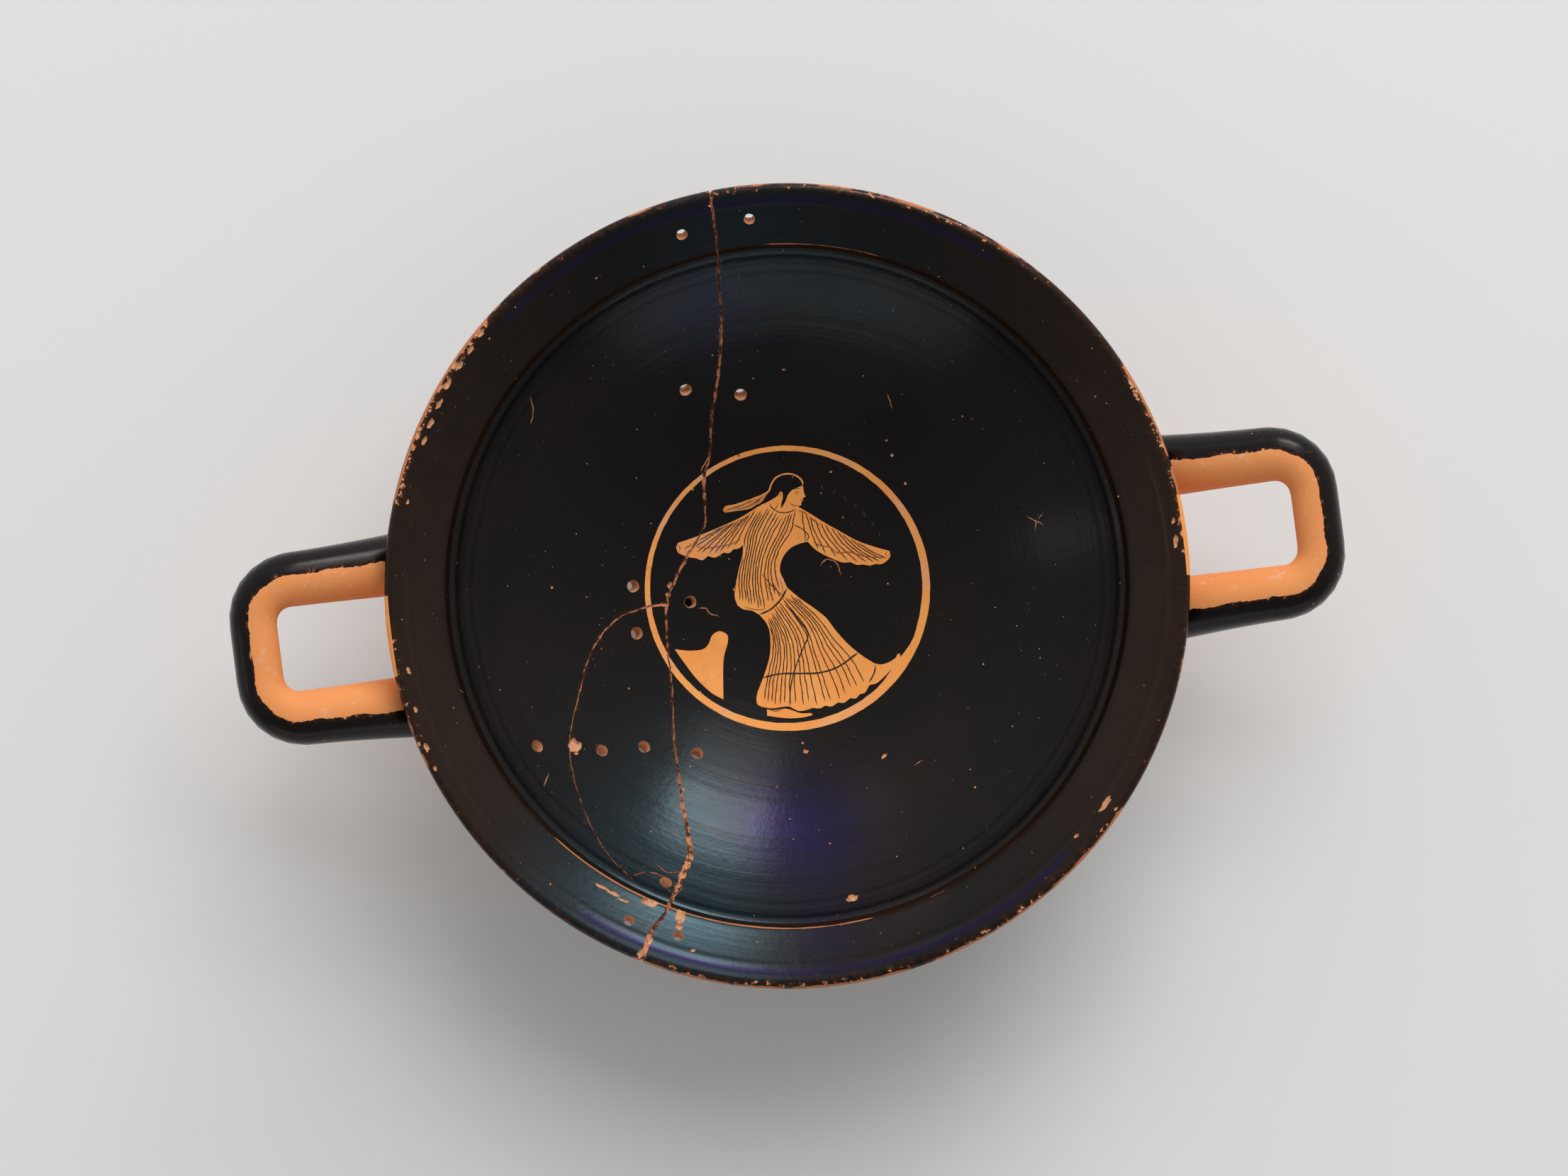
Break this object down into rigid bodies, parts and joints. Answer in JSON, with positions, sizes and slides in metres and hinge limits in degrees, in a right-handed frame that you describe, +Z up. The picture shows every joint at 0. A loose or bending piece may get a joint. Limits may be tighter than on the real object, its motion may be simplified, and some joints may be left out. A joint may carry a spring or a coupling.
{
  "type": "drinking cup",
  "caption": "Wide shallow drinking cup with looped side handles on a low stemmed foot, black-glossed clay with a round painted picture in the bowl and old mending holes.",
  "frame": {"origin": "on the ground under the middle of the foot", "axes": "+Z up out of the bowl, +X along the line of the two handles"},
  "size_m": [0.2848, 0.205, 0.08],
  "materials": {
    "glossed_clay": "satin black gloss over orange clay, worn at the rim and handles, with reserved orange areas"
  },
  "bodies": {
    "root": {"drinking_cup": "glossed_clay"}
  },
  "joints": []
}
